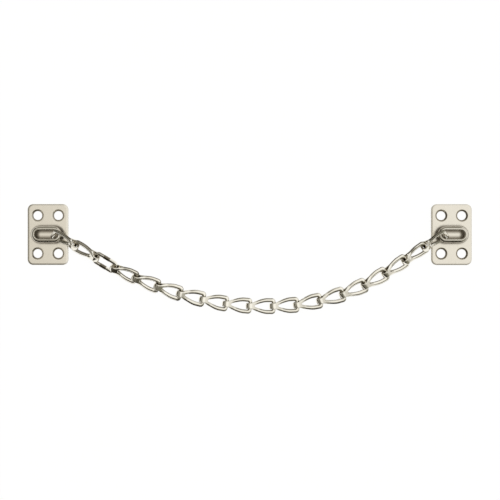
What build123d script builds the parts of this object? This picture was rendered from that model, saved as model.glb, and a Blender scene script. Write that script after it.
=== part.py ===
from build123d import *
from math import asin, cos, degrees, hypot, radians, sin
import os

# Transom chain laid on a bench: two screw plates with raised oblong eyes, joined by folded sheet links.
# Millimetres. The left plate's back is centred on the origin, +X runs to the right plate, +Z is up.

# Plates
plate_width = 25.4
plate_height = 38.1
plate_thickness = 1.8
plate_corner_radius = 3.5

# Screw holes
hole_diameter = 5.6
hole_spacing_x = 12.9
hole_spacing_y = 23.8

# Eye: an oblong rail, cast with draft, on a wall under each long side
eye_length = 19.6
eye_width = 10.9
eye_end_width = 2.4
eye_side_width = 2.7
eye_rail_depth = 1.6
eye_draft_angle = 46
eye_wall_length = 3.4
eye_wall_width = 1.5
eye_root_bevel = 0.6
eye_root_slope = 45
eye_floor_clearance = 1.5

# Folded links
link_pitch = 14.75
link_width = 9.9
link_corner_radius = 1.9
link_flank_start = 1.1
link_flank_run = 8.0
sheet_thickness = 0.95
loop_clearance = 0.65
loop_closing_angle = 25
neck_width = 3.8
bar_width = 2.1
leg_width = 2.05
opening_apex_width = 1.1

# Connecting link: a plain oblong ring between two folds
connector_pitch = 13.6
connector_width = 9.6
connector_leg_width = 2.1
connector_corner_radius = 2.8

# Lay of the chain, link by link from the left eye: heading in plan, then roll about its own length
headings = (-29, -30, -31, -25, -21, -18, -14, -10.5, -5, -0.5, 3.5, 10.5, 16, 23, 29.5, 33.5, 35, 32.5)
rolls = (50, 42, 38, 32, 24, 15, 7, 0, 0, 0, 0, 5, 9, 14, 20, 28, 38, 50)
turned_links = 2
eye_contact_lag = 8
eye_running_clearance = 1.7
bench_clearance = 0.25
plate_edge_lift = 1.5

loop_inner_radius = hypot(bar_width, 2 * sheet_thickness) / 2 + loop_clearance
loop_outer_radius = loop_inner_radius + sheet_thickness
link_end = link_pitch + bar_width / 2
eye_straight = eye_length - eye_width
eye_bend_radius = (eye_width - eye_end_width) / 2
eye_grip = eye_end_width / 2 + eye_running_clearance + bar_width / 2


def screw_plate():
    """Plate with four screw holes and its eye, back on Z = 0."""
    outline = RectangleRounded(plate_width, plate_height, plate_corner_radius)
    outline -= GridLocations(hole_spacing_x, hole_spacing_y, 2, 2) * Circle(hole_diameter / 2)
    return extrude(outline, plate_thickness) + eye()


def eye():
    """Oblong rail on two walls. Both rail ends stand free, so that a link can pass under them."""
    height = eye_rail_height()
    rail = extrude(SlotOverall(eye_length, eye_width), eye_rail_depth, taper=eye_draft_angle)
    slot = SlotOverall(eye_length - 2 * eye_end_width, eye_width - 2 * eye_side_width)
    rail -= extrude(slot, eye_rail_depth)
    rail = Pos(0, 0, height - eye_rail_depth / 2) * rail
    wall = Box(
        eye_wall_length,
        eye_wall_width,
        height - eye_rail_depth / 2 - plate_thickness,
        align=(Align.CENTER, Align.CENTER, Align.MIN),
    )
    root = extrude(
        Rectangle(eye_wall_length + 2 * eye_root_bevel, eye_wall_width + 2 * eye_root_bevel),
        eye_root_bevel,
        taper=eye_root_slope,
    )
    foot = Pos(0, (eye_width - eye_side_width) / 2, plate_thickness) * (wall + root)
    return rail + foot + mirror(foot, Plane.XZ)


def folded_strip():
    """Side view of a link: the sheet bends round a loop at X = 0, then its two layers lie together."""
    slope_x = sin(radians(loop_closing_angle))
    slope_z = cos(radians(loop_closing_angle))
    leave = Vector(loop_outer_radius * slope_x, loop_outer_radius * slope_z)
    closed = Vector((loop_outer_radius - sheet_thickness * slope_z) / slope_x, sheet_thickness)
    outside = [
        ThreePointArc(leave, (-loop_outer_radius, 0), (leave.X, -leave.Y)),
        Polyline(
            (leave.X, -leave.Y),
            (closed.X, -closed.Y),
            (link_end, -sheet_thickness),
            (link_end, sheet_thickness),
            closed,
            leave,
        ),
    ]
    part = Vector(loop_inner_radius * slope_x, loop_inner_radius * slope_z)
    inside = [
        ThreePointArc(part, (-loop_inner_radius, 0), (part.X, -part.Y)),
        Polyline((part.X, -part.Y), (loop_inner_radius / slope_x, 0), part),
    ]
    section = make_face(outside) - make_face(inside)
    return extrude(Plane.XZ * section, link_width, both=True)


def link_blank():
    """Plan view of a link: narrow neck, straight flanks, rounded wide end, teardrop opening."""
    half, neck = link_width / 2, neck_width / 2
    level = link_flank_start + link_flank_run
    outline = make_face(
        Polyline(
            (-loop_outer_radius, -neck),
            (link_flank_start, -neck),
            (level, -half),
            (link_end, -half),
            (link_end, half),
            (level, half),
            (link_flank_start, neck),
            (-loop_outer_radius, neck),
            close=True,
        )
    )
    outline = fillet(outline.vertices().group_by(Axis.X)[-1], link_corner_radius)
    return outline - opening(level, (half - neck) / link_flank_run)


def opening(level, flank_slope):
    """Window whose sides keep the legs one width, its apex towards the fold and the bar at its far end."""
    half, apex = link_width / 2 - leg_width, opening_apex_width / 2
    start = level - (half - apex) / flank_slope
    end = link_pitch - bar_width / 2
    return make_face(
        Polyline(
            (start, -apex),
            (level, -half),
            (end, -half),
            (end, half),
            (level, half),
            (start, apex),
            close=True,
        )
    )


def folded_link():
    """One link, its loop on the Y axis and the middle of its bar at X = link_pitch."""
    return folded_strip() & extrude(link_blank(), loop_outer_radius, both=True)


def connecting_link():
    """Oblong ring with a bar at each end, the first bar on the Y axis."""
    ring = RectangleRounded(connector_pitch + bar_width, connector_width, connector_corner_radius)
    ring -= Rectangle(connector_pitch - bar_width, connector_width - 2 * connector_leg_width)
    return Pos(connector_pitch / 2) * extrude(ring, sheet_thickness, both=True)


def kind(number):
    """Which way link number lies: turned ones have the wide end first, later ones the fold."""
    if number < turned_links:
        return "turned"
    return "connector" if number == turned_links else "forward"


def end_reach(number, first):
    """How far below its own centre line a link reaches at its first or second end, when rolled."""
    roll = radians(rolls[number])
    wide = link_width / 2 * abs(sin(roll)) + sheet_thickness * cos(roll)
    fold = neck_width / 2 * abs(sin(roll)) + loop_outer_radius * cos(roll)
    is_wide = {"turned": first, "connector": True, "forward": not first}
    return wide if is_wide[kind(number)] else fold


def span(number):
    """Distance between the two joints of a link."""
    if kind(number) == "connector":
        return connector_pitch
    hooked = number in (0, len(headings) - 1)
    return link_pitch - eye_grip if hooked else link_pitch


def eye_rail_height():
    """Height of the rail's middle, at which the hooked links' lower legs clear the plates."""
    reach = max(end_reach(0, True), end_reach(len(rolls) - 1, False))
    return plate_thickness + reach + eye_floor_clearance


def joint_heights():
    """Joints lie as low on the bench as their links allow, and ride over the plates' edges by the eyes."""
    between = [
        max(end_reach(n, False), end_reach(n + 1, True)) + bench_clearance
        for n in range(len(headings) - 1)
    ]
    between[0] += plate_edge_lift
    between[-1] += plate_edge_lift
    return [eye_rail_height(), *between, eye_rail_height()]


def rail_contact(angle):
    """Point on the rail's centre line, in plan, at this angle round the rail's end."""
    return Vector(eye_straight / 2, 0) + Vector(eye_bend_radius, 0).rotate(Axis.Z, angle)


def lay_chain():
    """Placement of every link, and the point where the chain meets the right eye's rail."""
    heights = joint_heights()
    joint = rail_contact(headings[0] + eye_contact_lag) + Vector(0, 0, heights[0])
    places = []
    for number, (heading, roll) in enumerate(zip(headings, rolls)):
        length = span(number)
        climb = asin((heights[number + 1] - heights[number]) / length)
        along = Vector(1, 0, 0).rotate(Axis.Y, -degrees(climb)).rotate(Axis.Z, heading)
        across = Vector(0, 1, 0).rotate(Axis.Z, heading).rotate(Axis((0, 0, 0), along), roll)
        after = joint + along * length
        if kind(number) == "turned":
            places.append(Plane(after, -along, across.cross(along)))
        else:
            places.append(Plane(joint, along, along.cross(across)))
        joint = after
    return places, joint


def right_plate_centre(meeting):
    """Centre of the right plate's back, from the point where the chain meets its eye."""
    return Vector(meeting.X, meeting.Y) + rail_contact(headings[-1] - eye_contact_lag)


def build():
    """Every piece in its place, by name."""
    places, meeting = lay_chain()
    plate = screw_plate()
    link = folded_link()
    pieces = {"left_plate": plate}
    count = 0
    for number, place in enumerate(places):
        if kind(number) == "connector":
            pieces["connecting_link"] = place * connecting_link()
        else:
            count += 1
            pieces[f"link_{count:02d}"] = place * link
    pieces["right_plate"] = Pos(right_plate_centre(meeting)) * plate
    return pieces


os.makedirs("parts", exist_ok=True)
for name, piece in build().items():
    export_step(piece, f"parts/{name}.step")
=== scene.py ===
from math import radians

import bmesh
import bpy
import numpy as np
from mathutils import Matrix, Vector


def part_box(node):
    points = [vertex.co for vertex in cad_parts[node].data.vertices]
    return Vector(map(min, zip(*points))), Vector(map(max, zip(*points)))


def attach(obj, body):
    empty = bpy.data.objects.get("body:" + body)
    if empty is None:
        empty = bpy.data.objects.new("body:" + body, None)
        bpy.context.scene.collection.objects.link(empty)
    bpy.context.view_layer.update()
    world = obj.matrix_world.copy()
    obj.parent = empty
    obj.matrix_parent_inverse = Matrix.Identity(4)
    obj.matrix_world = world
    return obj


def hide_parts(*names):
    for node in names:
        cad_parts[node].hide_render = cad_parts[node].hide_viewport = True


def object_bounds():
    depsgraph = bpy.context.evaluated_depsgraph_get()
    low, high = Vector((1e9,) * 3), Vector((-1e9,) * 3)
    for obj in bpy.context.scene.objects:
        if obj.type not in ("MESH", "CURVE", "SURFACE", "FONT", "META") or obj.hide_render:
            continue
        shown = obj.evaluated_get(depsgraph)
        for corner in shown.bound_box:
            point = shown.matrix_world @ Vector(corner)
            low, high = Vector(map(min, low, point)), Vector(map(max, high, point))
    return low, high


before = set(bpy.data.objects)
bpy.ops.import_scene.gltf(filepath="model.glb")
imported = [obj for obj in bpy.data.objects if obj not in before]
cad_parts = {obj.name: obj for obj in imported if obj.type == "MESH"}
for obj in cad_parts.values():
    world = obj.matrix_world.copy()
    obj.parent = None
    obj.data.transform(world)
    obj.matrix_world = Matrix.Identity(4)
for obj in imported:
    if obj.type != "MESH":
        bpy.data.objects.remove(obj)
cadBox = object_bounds()
scene = bpy.context.scene
mm = 0.001
print("frame loaded:", len(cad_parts), "nodes")


# mesh helpers: grids of points become quads, and grids that share a seam are welded
def gridQuads(rows, cols, closedRows, closedCols):
    # corner numbers of every cell of a rows x cols grid, numbered row by row
    i = np.arange(rows if closedRows else rows - 1)
    j = np.arange(cols if closedCols else cols - 1)
    i, j = np.meshgrid(i, j, indexing="ij")
    iNext, jNext = (i + 1) % rows, (j + 1) % cols
    corners = (i * cols + j, i * cols + jNext, iNext * cols + jNext, iNext * cols + j)
    return np.stack(corners, axis=-1).reshape(-1, 4)


def patch(points, closedRows=False, closedCols=False):
    # a grid of points, shaped rows x cols x 3, as a flat list with its quads
    rows, cols = points.shape[:2]
    return points.reshape(-1, 3), gridQuads(rows, cols, closedRows, closedCols)


def atHeights(plan, heights):
    # plan points, shaped rows x cols x 2, with their heights, which spread over rows or columns
    heights = np.broadcast_to(heights, plan.shape[:-1])
    return np.concatenate([plan, heights[..., None]], axis=-1)


def weldPatches(name, patches, seam=0.001 * mm):
    counts = [len(points) for points, _ in patches]
    starts = np.cumsum([0] + counts[:-1])
    points = np.concatenate([points for points, _ in patches])
    quads = np.concatenate([quads + start for (_, quads), start in zip(patches, starts)])
    mesh = bpy.data.meshes.new(name)
    mesh.from_pydata(points.tolist(), [], quads.tolist())
    work = bmesh.new()
    work.from_mesh(mesh)
    bmesh.ops.remove_doubles(work, verts=work.verts, dist=seam)
    bmesh.ops.recalc_face_normals(work, faces=work.faces)
    work.to_mesh(mesh)
    work.free()
    mesh.shade_smooth()
    piece = bpy.data.objects.new(name, mesh)
    scene.collection.objects.link(piece)
    return piece


def straight(start, end, count):
    # count points from start towards end, the end itself left to the next stretch
    t = np.linspace(0, 1, count, endpoint=False)[:, None]
    return (1 - t) * np.array(start) + t * np.array(end)


def arc(centre, radius, startDeg, endDeg, count):
    # count points round centre by angle, the end itself left to the next stretch
    t = np.radians(np.linspace(startDeg, endDeg, count, endpoint=False))
    return np.stack([centre[0] + radius * np.cos(t), centre[1] + radius * np.sin(t)], axis=-1)


def roundCorners(corners, cuts, count):
    # closed line whose corners are parabolas, each from a cut's length before its corner to one after
    corners, cuts = np.array(corners, float), np.array(cuts, float)[:, None]
    before, after = np.roll(corners, 1, axis=0) - corners, np.roll(corners, -1, axis=0) - corners
    start = (corners + cuts * before / np.linalg.norm(before, axis=1)[:, None])[:, None]
    end = (corners + cuts * after / np.linalg.norm(after, axis=1)[:, None])[:, None]
    t = np.linspace(0, 1, count)[None, :, None]
    return ((1 - t) ** 2 * start + 2 * t * (1 - t) * corners[:, None] + t**2 * end).reshape(-1, 2)


def softRound(count, power):
    # superellipse: cosine and sine round a full turn, each raised to 2/power with its sign kept
    angle = np.linspace(0, 2 * np.pi, count, endpoint=False)
    c, s = np.cos(angle), np.sin(angle)
    return np.sign(c) * np.abs(c) ** (2 / power), np.sign(s) * np.abs(s) ** (2 / power)


# shader helpers: a socket that takes part in sums, and one way to add any other node
class Wire:
    def __init__(self, socket):
        self.socket = socket
        self.tree = socket.id_data

    def combine(self, operation, left, right):
        node = self.tree.nodes.new("ShaderNodeMath")
        node.operation = operation
        plug(self.tree, node.inputs[0], left)
        plug(self.tree, node.inputs[1], right)
        return Wire(node.outputs[0])

    def made(self, operation, other=0.0):
        return self.combine(operation, self, other)

    def __add__(self, other):
        return self.combine("ADD", self, other)

    def __radd__(self, other):
        return self.combine("ADD", other, self)

    def __sub__(self, other):
        return self.combine("SUBTRACT", self, other)

    def __rsub__(self, other):
        return self.combine("SUBTRACT", other, self)

    def __mul__(self, other):
        return self.combine("MULTIPLY", self, other)

    def __rmul__(self, other):
        return self.combine("MULTIPLY", other, self)


def plug(tree, slot, value):
    if isinstance(value, Wire):
        tree.links.new(value.socket, slot)
    else:
        slot.default_value = value


class NodeBench:
    def __init__(self, owner):
        owner.use_nodes = True
        self.tree = owner.node_tree
        self.tree.nodes.clear()

    def add(self, kind, settings=None, inputs=None, output=0):
        node = self.tree.nodes.new("ShaderNode" + kind)
        settings = dict(settings or {})
        for place, (spot, colour) in enumerate(settings.pop("stops", [])):
            stops = node.color_ramp.elements
            stop = stops[place] if place < len(stops) else stops.new(spot)
            stop.position = spot
            stop.color = colour
        for key, value in settings.items():
            setattr(node, key, value)
        for key, value in (inputs or {}).items():
            plug(self.tree, node.inputs[key], value)
        return Wire(node.outputs[output]) if len(node.outputs) else None


def ramp(bench, value, start, end, low=0.0, high=1.0):
    # smooth step of a value from low at start to high at end
    limits = {0: value, 1: start, 2: end, 3: low, 4: high}
    return bench.add("MapRange", {"interpolation_type": "SMOOTHSTEP"}, limits)


def noise(bench, place, scale, detail, roughness=0.5):
    # soft noise between 0 and 1, with 0.5 as its middle
    looks = {"Vector": place, "Scale": scale, "Detail": detail, "Roughness": roughness}
    return bench.add("TexNoise", {}, looks)


def mixColour(bench, share, start, end, way="MIX"):
    # from start to end by share, where a plain colour is given as red, green and blue
    start, end = (colour if isinstance(colour, Wire) else (*colour, 1) for colour in (start, end))
    return bench.add("Mix", {"data_type": "RGBA", "blend_type": way}, {0: share, 6: start, 7: end}, 2)


# nickel on brass, satin on the plates and tumbled bright on the links; scales are per metre
plateFinish = {
    "tint": (0.75, 0.70, 0.60),  # warm silver
    "paleTint": (0.79, 0.75, 0.66),
    "shadeTint": (0.13, 0.10, 0.062),  # painted shade: the dark colour of the holes, of the plate round the rail and of the rail's lower flanks
    "roughness": 0.22,
    "smudge": 0.07,  # how much handling changes the roughness
    "lineScale": (2700, 270, 900),  # polishing lines
    "lineDepth": 0.0006 * mm,
    "grainScale": 2600,
    "grainDepth": 0.0002 * mm,
    "pitShare": 0.12,
}
linkFinish = {
    "tint": (0.84, 0.80, 0.70),
    "paleTint": (0.92, 0.89, 0.80),
    "shadeTint": (0.20, 0.175, 0.13),  # painted shade: the dark colour of the sheet's edges and of the inside of the fold
    "roughness": 0.08,
    "smudge": 0.07,
    "lineScale": (2100, 2100, 2100),  # the same every way, as tumbling leaves it
    "lineDepth": 0.0012 * mm,
    "grainScale": 1900,
    "grainDepth": 0.0008 * mm,
    "pitShare": 0.25,
}
nickelPattern = {
    "cloudScale": 70,
    "cloudShare": 0.7,  # of the change from tint to pale tint; smudges give the rest
    "smudgeScale": 260,
    "lineRoughness": 0.08,
    "pitScale": 420,
    "pitEdge": (0.04, 0.11),  # where a pit's floor ends and where the surface begins
    "pitTint": (0.55, 0.50, 0.42),
    "pitRoughness": 0.15,
    "dullRoughness": 0.1,
}

# fades of the painted shade, and of the crest's smoothness, in millimetres: where each starts and ends,
# then its share at both
plateShadeFades = {
    "hole": (2.9, 3.7, 0.7, 0),  # from a hole's middle
    "holeLow": (0, 0.3),  # above the plate's back
    "railInside": (-4.0, -1.8),  # outwards from the middle of the rail
    "railOutside": (0.3, 2.8, 0.8, 0),
    "faceLow": (-1.0, -0.4),  # above the plate's face, as are the rest
    "faceHigh": (0.6, 1.6, 1, 0),
    "flankLow": (0.6, 1.6),
    "flankHigh": (5.4, 6.2, 0.9, 0),
    "crest": (5.1, 5.6, 0, 0.1),  # how much smoother the rail's crest is
}
linkShadeFades = {
    "edge": (0.3, 0.62, 1, 0),  # from the plane between the two layers
    "inside": (2.15, 2.6, 1, 0),  # from the fold's axis
    "nose": (-2.2, -1.6),  # along the link
}


def ownPlace(bench):
    own = bench.add("Attribute", {"attribute_name": "own"}, output="Vector")
    return [bench.add("SeparateXYZ", {}, {0: own}, axis) for axis in "XYZ"]


def plateShadeAndPolish(bench):
    # painted shade under the rail and beside it, on the rail's lower flanks and in the holes; smoother on
    # its crest
    x, y, z = ownPlace(bench)
    above = z - plateSpec["thickness"]
    beyond = (x.made("ABSOLUTE") - (eyeSpec["length"] - eyeSpec["width"]) / 2).made("MAXIMUM", 0)
    railMiddle = (eyeSpec["width"] - eyeSpec["sideWidth"]) / 2
    fromRail = (beyond * beyond + y * y).made("SQRT") - railMiddle
    across = x.made("ABSOLUTE") - plateSpec["holeSpacing"][0] / 2
    along = y.made("ABSOLUTE") - plateSpec["holeSpacing"][1] / 2
    fromHole = (across * across + along * along).made("SQRT")

    def fade(value, name):
        return ramp(bench, value, *plateShadeFades[name])

    holes = fade(fromHole, "hole") * fade(z, "holeLow")
    # painted shade round the rail's foot, in the slot and outside it
    railShade = fade(fromRail, "railInside") * fade(fromRail, "railOutside")
    railShade = railShade * fade(above, "faceLow") * fade(above, "faceHigh")
    flanks = fade(above, "flankLow") * fade(above, "flankHigh")
    return holes.made("MAXIMUM", railShade).made("MAXIMUM", flanks), fade(above, "crest")


def linkPaintedShade(bench):
    # painted shade on the sheet's edges and inside the fold, fading out at the fold's nose; nowhere
    # smoother
    x, _, z = ownPlace(bench)
    edges = ramp(bench, z.made("ABSOLUTE"), *linkShadeFades["edge"])
    inside = ramp(bench, (x * x + z * z).made("SQRT"), *linkShadeFades["inside"])
    return edges.made("MAXIMUM", inside) * ramp(bench, x, *linkShadeFades["nose"]), 0


def nickel(name, finish, paintedShadeOf):
    material = bpy.data.materials.new(name)
    bench = NodeBench(material)
    pattern = nickelPattern
    paintedShade, smoother = paintedShadeOf(bench)
    place = bench.add("TexCoord", output="Object")
    cloud = noise(bench, place, pattern["cloudScale"], detail=3)
    smudge = noise(bench, place, pattern["smudgeScale"], detail=5, roughness=0.65)
    lineSpace = bench.add("Mapping", {}, {"Vector": place, "Scale": finish["lineScale"]})
    lines = noise(bench, lineSpace, scale=1, detail=4, roughness=0.7)
    grain = noise(bench, place, finish["grainScale"], detail=2)
    spots = bench.add("TexVoronoi", {}, {"Vector": place, "Scale": pattern["pitScale"]}, "Distance")
    floorEnd, rimStart = pattern["pitEdge"]
    stops = [(floorEnd, (1, 1, 1, 1)), (rimStart, (0, 0, 0, 1))]
    pits = bench.add("ValToRGB", {"stops": stops}, {"Fac": spots})

    paleness = cloud * pattern["cloudShare"] + smudge * (1 - pattern["cloudShare"])
    colour = mixColour(bench, paleness, finish["tint"], finish["paleTint"])
    colour = mixColour(bench, pits * finish["pitShare"], colour, pattern["pitTint"], "MULTIPLY")
    # painted shade: the colour goes towards the dark shade tint where the shade mask is high
    colour = mixColour(bench, paintedShade, colour, finish["shadeTint"])
    roughness = finish["roughness"] + (smudge - 0.5) * (2 * finish["smudge"]) - smoother
    roughness = roughness + (lines - 0.5) * pattern["lineRoughness"]
    roughness = roughness + pits * pattern["pitRoughness"] + paintedShade * pattern["dullRoughness"]
    fine = {"Strength": 1, "Distance": finish["grainDepth"], "Height": grain - pits}
    lined = {"Strength": 1, "Distance": finish["lineDepth"], "Height": lines}
    normal = bench.add("Bump", {}, {**lined, "Normal": bench.add("Bump", {}, fine)})
    surface = {"Base Color": colour, "Metallic": 1.0, "Roughness": roughness, "Normal": normal}
    bench.add("OutputMaterial", {}, {"Surface": bench.add("BsdfPrincipled", {}, surface)})
    return material


def finishPiece(piece, node, material, origin, axes):
    # each point's place in the piece's own axes, in millimetres, is kept for its finish, where it places
    # the painted shade
    points = np.empty(len(piece.data.vertices) * 3)
    piece.data.vertices.foreach_get("co", points)
    own = (points.reshape(-1, 3) - origin) @ axes.T / mm
    piece.data.attributes.new("own", "FLOAT_VECTOR", "POINT").data.foreach_set("vector", own.ravel())
    piece.data.materials.append(material)
    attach(piece, node)
    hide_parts(node)


# plates: a quarter round one hole, mirrored both ways; millimetres, as in every shape below
plateSpec = {
    "thickness": 1.8,
    "cornerRadius": 3.5,
    "edgeSlope": (1.1, 0.2),  # width and fall of the eased border
    "edgePower": 1.6,  # over 1 keeps the border's fall for its outer part
    "edgeRound": 0.3,  # radius of the edge itself
    "backBevel": 0.2,
    "holeDiameter": 5.6,
    "holeSpacing": (12.9, 23.8),
    "mouthWidth": 1.1,  # countersunk mouth of each hole
    "mouthLean": 44,  # its fall in degrees
    "mouthRound": 0.25,
    "coneRows": (0.5, 0.93, 1),  # shares of the mouth's cone, close together at its foot
    "boreStep": 0.04,  # first row of the bore below the cone
    "outlinePoints": (10, 12, 7),  # on the side, round the corner and on the top of a quarter
    "middlePoints": (9, 7),  # on its two lines of mirroring
    "faceRows": 6,
    "edgeRows": 7,
    "lipRows": 5,
}


def quadrantOutline(spec, halfWidth, halfHeight):
    # a quarter of the plate from its centre line round the corner, and the outward direction at each point
    corner = spec["cornerRadius"]
    sideCount, bendCount, topCount = spec["outlinePoints"]
    side = straight((halfWidth, 0), (halfWidth, halfHeight - corner), sideCount)
    bend = arc((halfWidth - corner, halfHeight - corner), corner, 0, 90, bendCount)
    top = straight((halfWidth - corner, halfHeight), (0, halfHeight), topCount)
    outline = np.concatenate([side, bend, top, [(0, halfHeight)]])
    outward = np.concatenate(
        [
            np.tile((1.0, 0.0), (sideCount, 1)),
            arc((0, 0), 1, 0, 90, bendCount),
            np.tile((0.0, 1.0), (topCount + 1, 1)),
        ]
    )
    return outline, outward


def plateQuadrant(spec, halfWidth, halfHeight):
    # top and back faces spread from the hole to the edge; rim and hole wall are profiles carried round
    t, edge, back = spec["thickness"], spec["edgeRound"], spec["backBevel"]
    border, fall = spec["edgeSlope"]
    holeRadius, mouth = spec["holeDiameter"] / 2, spec["mouthWidth"]
    hole = np.array(spec["holeSpacing"]) / 2
    outline, outward = quadrantOutline(spec, halfWidth, halfHeight)
    downCount, outCount = spec["middlePoints"]
    down = straight((0, halfHeight), (0, 0), downCount)
    inward = np.concatenate([down, straight((0, 0), (halfWidth, 0), outCount)])[1:]
    spoke = np.concatenate([outline, inward]) - hole  # shared by both faces and the hole's wall
    spoke /= np.linalg.norm(spoke, axis=1)[:, None]
    spread = np.linspace(0, 1, spec["faceRows"])[:, None, None]

    def face(inset, radius, height):
        # straight rays from a ring round the hole to the inset edge
        rimLine = outline - inset * outward
        innerLine = np.clip(inward, None, (halfWidth - inset, halfHeight - inset))
        around = np.concatenate([rimLine, innerLine])
        return atHeights((1 - spread) * (hole + radius * spoke) + spread * around, height)

    # rim: the eased border, a quarter circle over the edge, then down to the back's bevel
    turn = np.linspace(0, np.pi / 2, spec["edgeRows"])
    ease = np.linspace(0, 1, spec["edgeRows"])[:-1]
    inset = np.concatenate([border + (edge - border) * ease, edge * (1 - np.sin(turn)), [0, back]])
    borderHeight = t - fall * ease ** spec["edgePower"]
    height = np.concatenate([borderHeight, t - fall - edge * (1 - np.cos(turn)), [back, 0]])
    rim = atHeights(outline - inset[:, None, None] * outward, height[:, None])

    # hole wall: a rounded lip, a cone, then the bore, with close rows where the cone meets the bore
    lean, lip = radians(spec["mouthLean"]), spec["mouthRound"]
    lipTurn = np.linspace(0, lean, spec["lipRows"])
    lipRadius = holeRadius + mouth - lip * np.sin(lipTurn)
    lipHeight = t - lip * (1 - np.cos(lipTurn))
    run = (lipRadius[-1] - holeRadius) * np.array(spec["coneRows"])
    coneHeight = lipHeight[-1] - run * np.tan(lean)
    boreHeight = [coneHeight[-1] - spec["boreStep"], back, 0]
    radii = np.concatenate([lipRadius, lipRadius[-1] - run, [holeRadius, holeRadius, holeRadius + back]])
    heights = np.concatenate([lipHeight, coneHeight, boreHeight])
    wall = atHeights(hole + radii[:, None, None] * spoke, heights[:, None])
    rings = face(border, holeRadius + mouth, t), face(back, holeRadius + back, 0), wall
    return [patch(ring, closedCols=True) for ring in rings] + [patch(rim)]


# eye: a rail with a sloped outside, carried round an oblong, on two flared walls
eyeSpec = {
    "length": 19.6,
    "width": 10.9,
    "endWidth": 2.4,
    "sideWidth": 2.7,
    "railDepth": 1.6,
    "crestWidth": 1.04,  # level top of the rail, from the slot outwards
    "slopeBulge": 0.1,
    "lipRound": 0.55,  # rounding of the slot's upper edge
    "underRound": 0.35,  # of its lower edge
    "footRound": 0.25,  # of the slope's foot
    "bulgeRound": 0.4,  # of the slope's middle
    "crestRound": 0.5,  # of the slope's top
    "wallLength": 3.4,
    "wallWidth": 1.5,
    "wallSquareness": 5,
    "wallSink": 0.1,  # how far a wall reaches into the plate
    "rootFlare": 0.6,
    "stretchPoints": 24,  # on each straight and each half circle of the rail
    "roundPoints": 8,
    "wallPoints": 40,
    "flareRows": 6,
}


def oblong(halfLength, halfWidth, count):
    # stretched ring: half circles joined by straights, the same share of points on each stretch
    straightHalf = halfLength - halfWidth
    return np.concatenate(
        [
            arc((straightHalf, 0), halfWidth, -90, 90, count),
            straight((straightHalf, halfWidth), (-straightHalf, halfWidth), count),
            arc((-straightHalf, 0), halfWidth, 90, 270, count),
            straight((-straightHalf, -halfWidth), (straightHalf, -halfWidth), count),
        ]
    )


def eyePatches(spec, plateTop, railTop):
    # rail section: slot side, underside, slope and crest, as shares of the rail's width and height
    halfLength, halfWidth, count = spec["length"] / 2, spec["width"] / 2, spec["stretchPoints"]
    w, d, crest, swell = (spec[k] for k in ("sideWidth", "railDepth", "crestWidth", "slopeBulge"))
    outer = oblong(halfLength, halfWidth, count)
    inner = oblong(halfLength - spec["endWidth"], halfWidth - w, count)
    bulge = ((crest + w) / 2 + swell, d / 2 + swell)
    rounds = [spec[part + "Round"] for part in ("lip", "under", "foot", "bulge", "crest")]
    section = roundCorners([(0, d), (0, 0), (w, 0), bulge, (crest, d)], rounds, spec["roundPoints"])
    across = (section[:, 0] / w)[:, None]
    rail = atHeights(inner[:, None] + (outer - inner)[:, None] * across, railTop - d + section[:, 1])
    patches = [patch(rail, closedRows=True, closedCols=True)]

    # wall: a rounded oblong column, wider at its foot by a quarter circle
    foot = spec["rootFlare"]
    rise = [[-spec["wallSink"]], np.linspace(0, foot, spec["flareRows"]), [railTop - d / 2 - plateTop]]
    rise = np.concatenate(rise)[:, None]
    flare = foot - np.sqrt(np.clip(foot**2 - (foot - np.clip(rise, 0, foot)) ** 2, 0, None))
    c, s = softRound(spec["wallPoints"], spec["wallSquareness"])
    for side in (-1, 1):
        x = (spec["wallLength"] / 2 + flare) * c
        y = (spec["wallWidth"] / 2 + flare) * s + side * (halfWidth - w / 2)
        column = atHeights(np.stack([x, y], axis=-1), plateTop + rise)
        ends = column[[0, -1]]
        caps = np.stack([ends, np.broadcast_to(ends.mean(axis=1, keepdims=True), ends.shape)], axis=1)
        patches += [patch(points, closedCols=True) for points in (column, *caps)]
    return patches


# satin nickel with painted shade in the holes and round the rail
plateNickel = nickel("satin_nickel", plateFinish, plateShadeAndPolish)
print("satin nickel mixed")


def makePlate(name, node):
    low, high = (np.array(corner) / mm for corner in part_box(node))
    centre, half = (low + high) / 2, (high - low) / 2
    quadrant = plateQuadrant(plateSpec, half[0], half[1])
    mirrors = [(x, y, 1) for x in (1, -1) for y in (1, -1)]
    patches = [(points * mirror, quads) for mirror in mirrors for points, quads in quadrant]
    patches += eyePatches(eyeSpec, plateSpec["thickness"], high[2] - low[2])
    shift = np.array((centre[0], centre[1], low[2]))
    piece = weldPatches(name, [((points + shift) * mm, quads) for points, quads in patches])
    finishPiece(piece, node, plateNickel, shift * mm, np.eye(3))


makePlate("leftPlateDressed", "left_plate")
makePlate("rightPlateDressed", "right_plate")
print("plates made")

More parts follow.
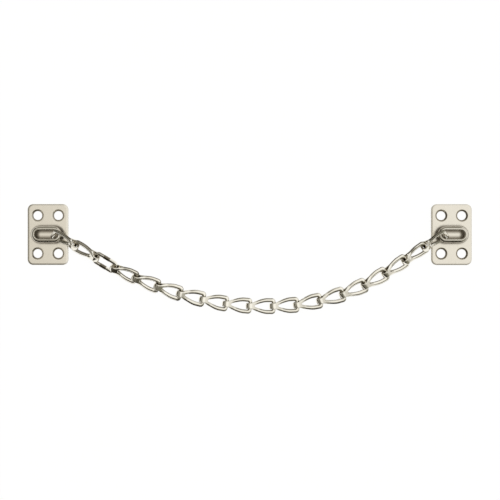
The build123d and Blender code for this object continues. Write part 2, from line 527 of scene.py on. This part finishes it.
# links: a blank with two windows, folded round a loop so that its two layers lie together
linkSpec = {
    "pitch": 14.75,
    "width": 9.9,
    "neck": 3.8,
    "barWidth": 2.1,
    "legWidth": 2.5,
    "sheet": 0.93,
    "layerHeight": 0.485,  # middle of a layer above the link's own plane
    "loopRadius": 2.541,  # middle of the sheet
    "closingAngle": 25,
    "closingSoftness": 0.16,
    "flankEnd": 10.4,
    "flankPower": 1.55,  # over 1 bows the flanks outwards
    "cornerRadius": 2.3,
    "windowApex": 2.95,
    "windowApexWidth": 1.1,
    "windowApexBow": 0.35,  # as a share of half that width
    "windowCorner": 0.8,
    "edgeRound": 0.42,  # width of the rounded edges
    "crown": 0.26,  # how far the outer face falls towards its edges
    "crownRun": 5,  # points of the flank over which the crown sets in
    "foldNarrowing": 0.03,  # how much narrower the fold is at its nose
    "foldBow": 0.4,  # how far the nose's corners pull in
    "edgePoints": (18, 4, 9, 5),  # on the flank, the side, the bend and half the end
    "neckPoints": 9,
    "faceRows": 9,
    "edgeRows": (7, 5),  # of an edge's upper and lower part
    "foldRows": 31,
}


def flank(start, startHalf, end, endHalf, power, count):
    # side line that falls from its full width as a power of the distance back from its end
    x = np.linspace(start, end, count, endpoint=False)
    y = endHalf - (endHalf - startHalf) * ((end - x) / (end - start)) ** power
    return np.stack([x, y], axis=-1)


def blankLine(spec, lead, leadHalf, sideHalf, far, radius):
    # one edge from the neck's lower corner round the wide end to its upper corner: flank, side, bend, end
    flankCount, sideCount, bendCount, endCount = spec["edgePoints"]
    upper = np.concatenate(
        [
            flank(lead, leadHalf, spec["flankEnd"], sideHalf, spec["flankPower"], flankCount),
            straight((spec["flankEnd"], sideHalf), (far - radius, sideHalf), sideCount),
            arc((far - radius, sideHalf - radius), radius, 90, 0, bendCount),
            straight((far, sideHalf - radius), (far, 0), endCount),
        ]
    )
    return np.concatenate([upper * (1, -1), [(far, 0)], upper[::-1]])


def outwardOf(line):
    # unit normals of an open line that runs anticlockwise round its inside
    along = np.gradient(line, axis=0)
    normal = np.stack([along[:, 1], -along[:, 0]], axis=-1)
    return normal / np.linalg.norm(normal, axis=1)[:, None]


def linkPatches(spec):
    # a closed sheet: an outer and an inner face either side of a middle surface, joined by rounded edges
    half, neck, r = spec["width"] / 2, spec["neck"] / 2, spec["edgeRound"]
    lean, halfSheet = radians(spec["closingAngle"]), spec["sheet"] / 2
    loopX, loopZ = spec["loopRadius"] * np.sin(lean), spec["loopRadius"] * np.cos(lean)
    apex, apexHalf = spec["windowApex"], spec["windowApexWidth"] / 2
    barStart, barEnd = spec["pitch"] - spec["barWidth"] / 2, spec["pitch"] + spec["barWidth"] / 2
    outline = blankLine(spec, loopX, neck, half, barEnd, spec["cornerRadius"])
    window = blankLine(spec, apex, apexHalf, half - spec["legWidth"], barStart, spec["windowCorner"])
    count = len(outline)
    outlineOut = outwardOf(outline)
    outlineOut[[0, -1]] = (0, -1), (0, 1)
    neckY = np.linspace(1, -1, spec["neckPoints"])
    neckLine = np.stack([np.full_like(neckY, loopX), (neck - r) * neckY], axis=-1)
    apexX = apex - spec["windowApexBow"] * apexHalf * (1 - neckY**2)
    apexLine = np.stack([apexX, apexHalf * neckY], axis=-1)
    # rings run once round: along the edge, then back over the neck
    windowRing = np.concatenate([window, apexLine[1:-1]])
    windowOut = outwardOf(np.concatenate([windowRing[-1:], windowRing, windowRing[:1]]))[1:-1]
    innerRing = windowRing + r * windowOut
    outerRing = np.concatenate([outline - r * outlineOut, neckLine[1:-1]])
    setIn = np.clip(np.arange(count) / spec["crownRun"], 0, 1)
    crown = np.zeros(len(outerRing))
    crown[:count] = spec["crown"] * np.minimum(setIn, setIn[::-1])
    crownSlope = 4 * crown / np.linalg.norm(outerRing - innerRing, axis=1)  # of its parabola, at the edge

    def lift(plan, offset):
        # height falls along the closing slope, softened where it meets the flat; offset is along the normal
        soft = spec["closingSoftness"]
        over = (loopZ - (plan[..., 0] - loopX) * np.tan(lean) - spec["layerHeight"]) / soft
        height = spec["layerHeight"] + soft * np.logaddexp(0, over)
        steep = np.tan(lean) / (1 + np.exp(-over))
        normal = np.stack([steep, np.zeros_like(steep), np.ones_like(steep)], axis=-1)
        normal /= np.linalg.norm(normal, axis=-1)[..., None]
        return atHeights(plan, height) + offset[..., None] * normal

    def edgeSection(fall, slope):
        # a parabola that leaves in line with the crown, then a quarter oval to the inner face
        upperRows, lowerRows = spec["edgeRows"]
        t = np.linspace(0, 1, upperRows)[:, None]
        under = np.linspace(0, np.pi / 2, lowerRows)[1:, None]
        reach = np.concatenate([r * (2 * t - t**2), r * np.cos(under)])
        curve = (1 - t) ** 2 * (halfSheet - fall) + 2 * t * (1 - t) * (halfSheet - fall - r * slope)
        oval = np.broadcast_to(-halfSheet * np.sin(under), (len(under), len(fall)))
        return reach, np.concatenate([curve, oval])

    def rim(line, out, fall, slope):
        # that section carried along a line
        reach, up = edgeSection(fall, slope)
        return lift(line + reach[..., None] * out, up)

    across = np.linspace(0, 1, spec["faceRows"])[:, None]
    face = (1 - across)[..., None] * innerRing + across[..., None] * outerRing
    rings = [
        lift(face, halfSheet - crown * (2 * across - 1) ** 2),
        lift(face, np.full(face.shape[:2], -halfSheet)),
        rim(innerRing, -windowOut, crown, crownSlope),
    ]
    layer = [patch(ring, closedCols=True) for ring in rings]
    layer.append(patch(rim(outerRing[:count], outlineOut, crown[:count], crownSlope[:count])))

    # the fold: the same sheet carried round an arc, its corners pulled in a little at the nose
    start = np.pi / 2 - lean
    turn = np.linspace(start, 2 * np.pi - start, spec["foldRows"])[:, None]
    nose = np.sin((turn - start) / (2 * np.pi - 2 * start) * np.pi) ** 2

    def roll(y, offset):
        # a circle whose radius falls by the square of y, most at the nose
        radius = spec["loopRadius"] + offset - spec["foldBow"] * nose * (y / neck) ** 2
        y = y * (1 - spec["foldNarrowing"] * nose)
        return np.stack([radius * np.cos(turn), y, radius * np.sin(turn)], axis=-1)

    reach, up = edgeSection(np.zeros(1), np.zeros(1))
    fold = [patch(roll((neck - r) * neckY, side * halfSheet)) for side in (1, -1)]
    fold += [patch(roll(side * (neck - r + reach.T), up.T)) for side in (1, -1)]
    return layer + [(points * (1, 1, -1), quads) for points, quads in layer] + fold


# connecting link: a rounded bar section carried round an oblong
connectorSpec = {
    "length": 15.7,
    "width": 9.6,
    "barWidth": 2.1,
    "thickness": 1.88,
    "cornerRadius": 2.8,
    "roundness": 4.5,
    "bendPoints": 14,
    "sectionPoints": 32,
}


def connectorPatches(spec):
    # centre line: a circle whose four quarters are pushed out to the corners; section: a superellipse
    bend, count = spec["cornerRadius"] - spec["barWidth"] / 2, spec["bendPoints"]
    corner = np.array((spec["length"], spec["width"])) / 2 - spec["cornerRadius"]
    out = arc((0, 0), 1, 0, 360, 4 * count)
    quarter = np.repeat([(1, 1), (-1, 1), (-1, -1), (1, -1)], count, axis=0)
    path = quarter * corner + bend * out
    across, up = softRound(spec["sectionPoints"], spec["roundness"])
    plan = path[:, None] + out[:, None] * (across * spec["barWidth"] / 2)[:, None]
    return [patch(atHeights(plan, up * spec["thickness"] / 2), closedRows=True, closedCols=True)]


def nodeAxes(node):
    # own axes of a solid: the directions of most, middle and least spread of its surface
    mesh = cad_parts[node].data
    mesh.calc_loop_triangles()
    points = np.empty(len(mesh.vertices) * 3)
    mesh.vertices.foreach_get("co", points)
    corners = np.empty(len(mesh.loop_triangles) * 3, dtype=np.int32)
    mesh.loop_triangles.foreach_get("vertices", corners)
    corners = points.reshape(-1, 3)[corners].reshape(-1, 3, 3)
    edges = corners[:, 1:] - corners[:, :1]
    areas = np.linalg.norm(np.cross(edges[:, 0], edges[:, 1]), axis=1) / 2
    centre = np.average(corners.mean(axis=1), axis=0, weights=areas)
    offsets = corners - centre
    sums = offsets.sum(axis=1)
    spread = np.einsum("t,tci,tcj->ij", areas, offsets, offsets)
    spread += np.einsum("t,ti,tj->ij", areas, sums, sums)
    _, across, along = np.linalg.eigh(spread)[1].T
    reach = offsets @ along
    wideEnd = np.sum(areas * (reach * (offsets @ across) ** 2).mean(axis=1))
    if wideEnd < 0:  # along runs from the fold to the wide end
        along, reach = -along, -reach
    return centre, np.stack([along, across, np.cross(along, across)]), reach.max()


# bright nickel with painted shade on the links' edges and inside their folds
linkNickel = nickel("bright_nickel", linkFinish, linkPaintedShade)
print("bright nickel mixed")


def makeLink(name, node, patches, bodyEnd):
    # bodyEnd is how far the piece's own origin lies before its far end
    centre, axes, far = nodeAxes(node)
    origin = centre + axes[0] * (far - bodyEnd * mm)
    piece = weldPatches(name, [(origin + points * mm @ axes, quads) for points, quads in patches])
    finishPiece(piece, node, linkNickel, origin, axes)


linkShape = linkPatches(linkSpec)
linkNodes = sorted(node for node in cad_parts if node.startswith("link_"))
for node in linkNodes:
    makeLink("dressed_" + node, node, linkShape, linkSpec["pitch"] + linkSpec["barWidth"] / 2)
connectorShape = connectorPatches(connectorSpec)
makeLink("dressed_connecting_link", "connecting_link", connectorShape, connectorSpec["length"] / 2)
print("links made:", len(linkNodes), "folded and 1 connecting")

# camera: straight down, at the photograph's framing
cameraSpec = {
    "centre": (126.5, -9.7),  # the picture's middle on the bench
    "viewWidth": 312.75,  # what the picture spans there
    "distance": 700,
    "aimHeight": 2,
    "sensorWidth": 36,
    "clipStart": 10,
}


def makeCamera(spec):
    camera = bpy.data.objects.new("camera", bpy.data.cameras.new("camera"))
    camera.location = np.array((*spec["centre"], spec["distance"] + spec["aimHeight"])) * mm
    camera.data.sensor_width = spec["sensorWidth"]
    camera.data.lens = spec["sensorWidth"] * spec["distance"] / spec["viewWidth"]
    camera.data.clip_start = spec["clipStart"] * mm
    scene.collection.objects.link(camera)
    scene.camera = camera


makeCamera(cameraSpec)
print("camera set")

# floor: white to the camera and in reflections, with a little of the shadow kept
floorSpec = {
    "size": 3000,
    "drop": 0.05,  # keeps it clear of the plates' backs
    "glowShare": 0.85,
    "glowStrength": 1.115,
    "colour": (0.72, 0.71, 0.68),
}


def makeFloor(spec):
    # a flat grid of one cell
    side = np.array((-0.5, 0.5)) * spec["size"] * mm
    plan = np.stack(np.meshgrid(side, side), axis=-1)
    floor = weldPatches("floor", [patch(atHeights(plan, cadBox[0][2] - spec["drop"] * mm))])
    material = bpy.data.materials.new("white_floor")
    bench = NodeBench(material)
    rays = ("Is Camera Ray", "Is Glossy Ray", "Is Transmission Ray")
    isCamera, isGlossy, isThrough = (bench.add("LightPath", output=ray) for ray in rays)
    diffuse = bench.add("BsdfDiffuse", {}, {"Color": (*spec["colour"], 1)})
    glow = bench.add("Emission", {}, {"Color": (1, 1, 1, 1), "Strength": spec["glowStrength"]})
    seen = (isCamera + isGlossy + isThrough) * spec["glowShare"]
    mixed = bench.add("MixShader", {}, {0: seen, 1: diffuse, 2: glow})
    bench.add("OutputMaterial", {}, {"Surface": mixed})
    floor.data.materials.append(material)


makeFloor(floorSpec)
print("floor laid")

# light: a broad soft cap of sky that leans to the right and back, over a darker room with four walls;
# heights, reaches and depths are parts of a direction of length 1
skySpec = {
    "capAxis": (0.24, 0.14, 0.96),
    "capEdge": 48,  # degrees from the axis where the room begins
    "capCore": 22,  # and where full light begins
    "leftCap": (0.96, 0.94, 0.895),
    "rightCap": (1.06, 1.06, 1.05),
    "frontLow": (0.03, 0.027, 0.021),  # front wall, low and high, and high towards the left
    "frontHigh": (0.20, 0.19, 0.16),
    "leftFront": (0.10, 0.095, 0.08),
    "backLow": (0.55, 0.53, 0.48),
    "backHigh": (0.22, 0.215, 0.185),
    "leftLow": (0.06, 0.054, 0.042),  # left wall, with a pale box up on it
    "leftBox": (0.36, 0.35, 0.31),
    "rightFront": (0.22, 0.215, 0.17),  # right wall, from its front to its back
    "rightBack": (0.72, 0.71, 0.68),
    "frontRise": (0.3, 0.65),  # heights over which a wall goes from low to high
    "backRise": (0.06, 0.28),
    "leftRise": (0.36, 0.52),
    "capReach": (-0.2, 0.2),  # how far to the side a part begins and is full
    "leftReach": (-0.50, -0.64),
    "leftFrontReach": (-0.2, -0.45),
    "rightReach": (0.25, 0.5),
    "backDepth": (-0.6, 0.6),  # and how far to the back
    "rightDepth": (-0.62, -0.2),
}


def makeSky(spec):
    world = bpy.data.worlds.new("studio")
    scene.world = world
    bench = NodeBench(world)
    direction = bench.add("TexCoord", output="Generated")
    across, depth, height = (bench.add("SeparateXYZ", {}, {0: direction}, axis) for axis in "XYZ")

    def blend(value, limits, start, end):
        return mixColour(bench, ramp(bench, value, *limits), start, end)

    front = blend(across, spec["leftFrontReach"], spec["frontHigh"], spec["leftFront"])
    front = blend(height, spec["frontRise"], spec["frontLow"], front)
    back = blend(height, spec["backRise"], spec["backLow"], spec["backHigh"])
    right = blend(depth, spec["rightDepth"], spec["rightFront"], spec["rightBack"])
    left = blend(height, spec["leftRise"], spec["leftLow"], spec["leftBox"])
    room = blend(depth, spec["backDepth"], front, back)
    room = blend(across, spec["rightReach"], room, right)
    room = blend(across, spec["leftReach"], room, left)
    cap = blend(across, spec["capReach"], spec["leftCap"], spec["rightCap"])
    axis = np.array(spec["capAxis"]) / np.linalg.norm(spec["capAxis"])
    facing = bench.add("VectorMath", {"operation": "DOT_PRODUCT"}, {0: direction, 1: axis}, "Value")
    sky = blend(facing, np.cos(np.radians((spec["capEdge"], spec["capCore"]))), room, cap)
    seen = mixColour(bench, bench.add("LightPath", output="Is Camera Ray"), sky, (1, 1, 1))
    glow = bench.add("Background", {}, {"Color": seen, "Strength": 1})
    bench.add("OutputWorld", {}, {"Surface": glow})


makeSky(skySpec)
scene.view_settings.view_transform = "Standard"
print("light set")
